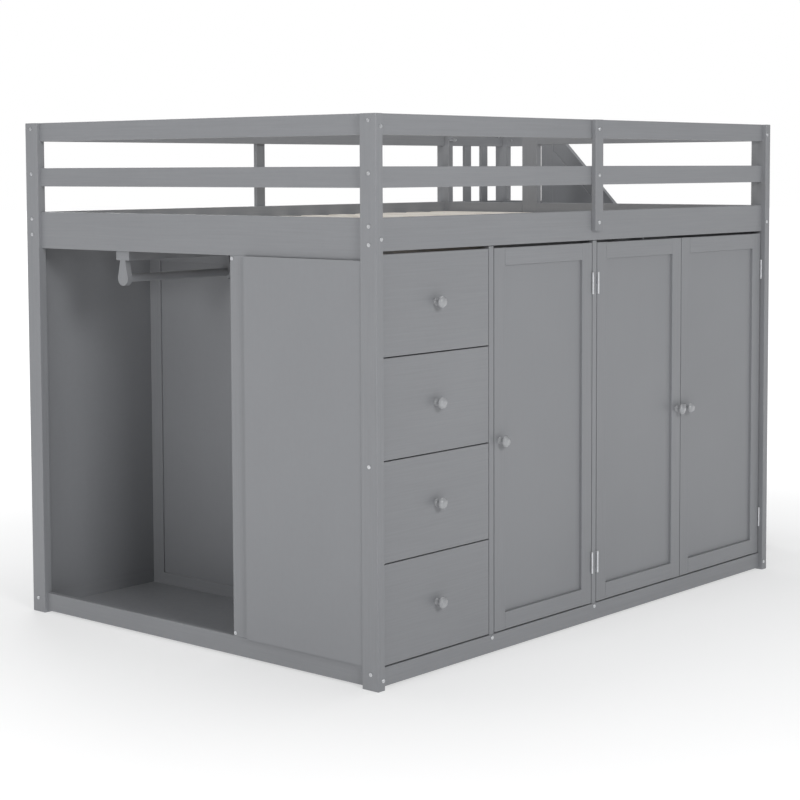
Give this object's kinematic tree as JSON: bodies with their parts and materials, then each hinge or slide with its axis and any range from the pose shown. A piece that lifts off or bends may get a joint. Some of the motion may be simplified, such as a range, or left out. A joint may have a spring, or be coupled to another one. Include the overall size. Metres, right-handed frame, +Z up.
{
  "type": "loft bed with desk and storage",
  "caption": "Full-size loft bed on a storage base with drawers, panelled doors, an open wardrobe, a built-in desk and a storage staircase.",
  "frame": {"origin": "floor level at the middle of the footprint, stairs included", "axes": "+X along the bed from the open wardrobe end to the stairs, +Y from the drawer and door side to the desk side, +Z up"},
  "size_m": [2.3846, 1.4658, 1.522],
  "materials": {
    "grey_paint": "satin grey paint over wood and board",
    "pale_pine": "bare pale pine",
    "drawer_board": "pale board, clear lacquer",
    "knob_lacquer": "glossier grey lacquer over turned wood",
    "bright_steel": "zinc-plated steel"
  },
  "bodies": {
    "root": {"back_posts": "grey_paint", "barrel_nuts": "bright_steel", "base_rails": "grey_paint", "cabinet_shelves": "grey_paint", "clothes_rail": "grey_paint", "clothes_rail_batten": "grey_paint", "clothes_rail_brackets": "grey_paint", "desk_rails": "grey_paint", "desk_top": "grey_paint", "drawer_runners": "drawer_board", "end_guard_rails": "grey_paint", "end_panels": "grey_paint", "end_stiles": "grey_paint", "frame_bolts": "bright_steel", "front_posts": "grey_paint", "gate_post": "grey_paint", "guard_middle_posts": "grey_paint", "hinge_fixed_leaves": "bright_steel", "hinge_pins": "bright_steel", "long_guard_rails": "grey_paint", "mattress_slats": "pale_pine", "side_boards": "grey_paint", "slat_supports": "grey_paint", "stair_guard_rails": "grey_paint", "stair_handrail": "grey_paint", "stair_panels": "grey_paint", "stair_posts": "grey_paint", "stair_risers": "grey_paint", "stair_treads": "grey_paint", "storage_back_panel": "grey_paint", "storage_floor": "grey_paint", "storage_partitions": "grey_paint", "wardrobe_back_panel": "grey_paint", "wardrobe_floor": "grey_paint", "wardrobe_wall_frame": "grey_paint", "wardrobe_wall_panel": "grey_paint"},
    "drawer_1": {"drawer_1_box": "drawer_board", "drawer_1_front": "grey_paint", "drawer_1_knob": "knob_lacquer"},
    "drawer_2": {"drawer_2_box": "drawer_board", "drawer_2_front": "grey_paint", "drawer_2_knob": "knob_lacquer"},
    "drawer_3": {"drawer_3_box": "drawer_board", "drawer_3_front": "grey_paint", "drawer_3_knob": "knob_lacquer"},
    "drawer_4": {"drawer_4_box": "drawer_board", "drawer_4_front": "grey_paint", "drawer_4_knob": "knob_lacquer"},
    "door_1": {"door_1_frame": "grey_paint", "door_1_hinge_leaves": "bright_steel", "door_1_knob": "knob_lacquer", "door_1_panel": "grey_paint"},
    "door_2": {"door_2_frame": "grey_paint", "door_2_hinge_leaves": "bright_steel", "door_2_knob": "knob_lacquer", "door_2_panel": "grey_paint"},
    "door_3": {"door_3_frame": "grey_paint", "door_3_hinge_leaves": "bright_steel", "door_3_knob": "knob_lacquer", "door_3_panel": "grey_paint"}
  },
  "joints": [
    {"name": "drawer_1_slide", "type": "slide", "parent": "root", "child": "drawer_1", "axis": [0, -1, 0], "range_m": [0, 0.36]},
    {"name": "drawer_2_slide", "type": "slide", "parent": "root", "child": "drawer_2", "axis": [0, -1, 0], "range_m": [0, 0.36]},
    {"name": "drawer_3_slide", "type": "slide", "parent": "root", "child": "drawer_3", "axis": [0, -1, 0], "range_m": [0, 0.36]},
    {"name": "drawer_4_slide", "type": "slide", "parent": "root", "child": "drawer_4", "axis": [0, -1, 0], "range_m": [0, 0.36]},
    {"name": "door_1_hinge", "type": "hinge", "parent": "root", "child": "door_1", "pos_m": [-0.1975, -0.7035, 0.6065], "axis": [0, 0, 1], "range_deg": [0, 86]},
    {"name": "door_2_hinge", "type": "hinge", "parent": "root", "child": "door_2", "pos_m": [-0.1695, -0.7035, 0.6065], "axis": [0, 0, -1], "range_deg": [0, 86]},
    {"name": "door_3_hinge", "type": "hinge", "parent": "root", "child": "door_3", "pos_m": [0.791, -0.7035, 0.6065], "axis": [0, 0, 1], "range_deg": [0, 100]}
  ]
}
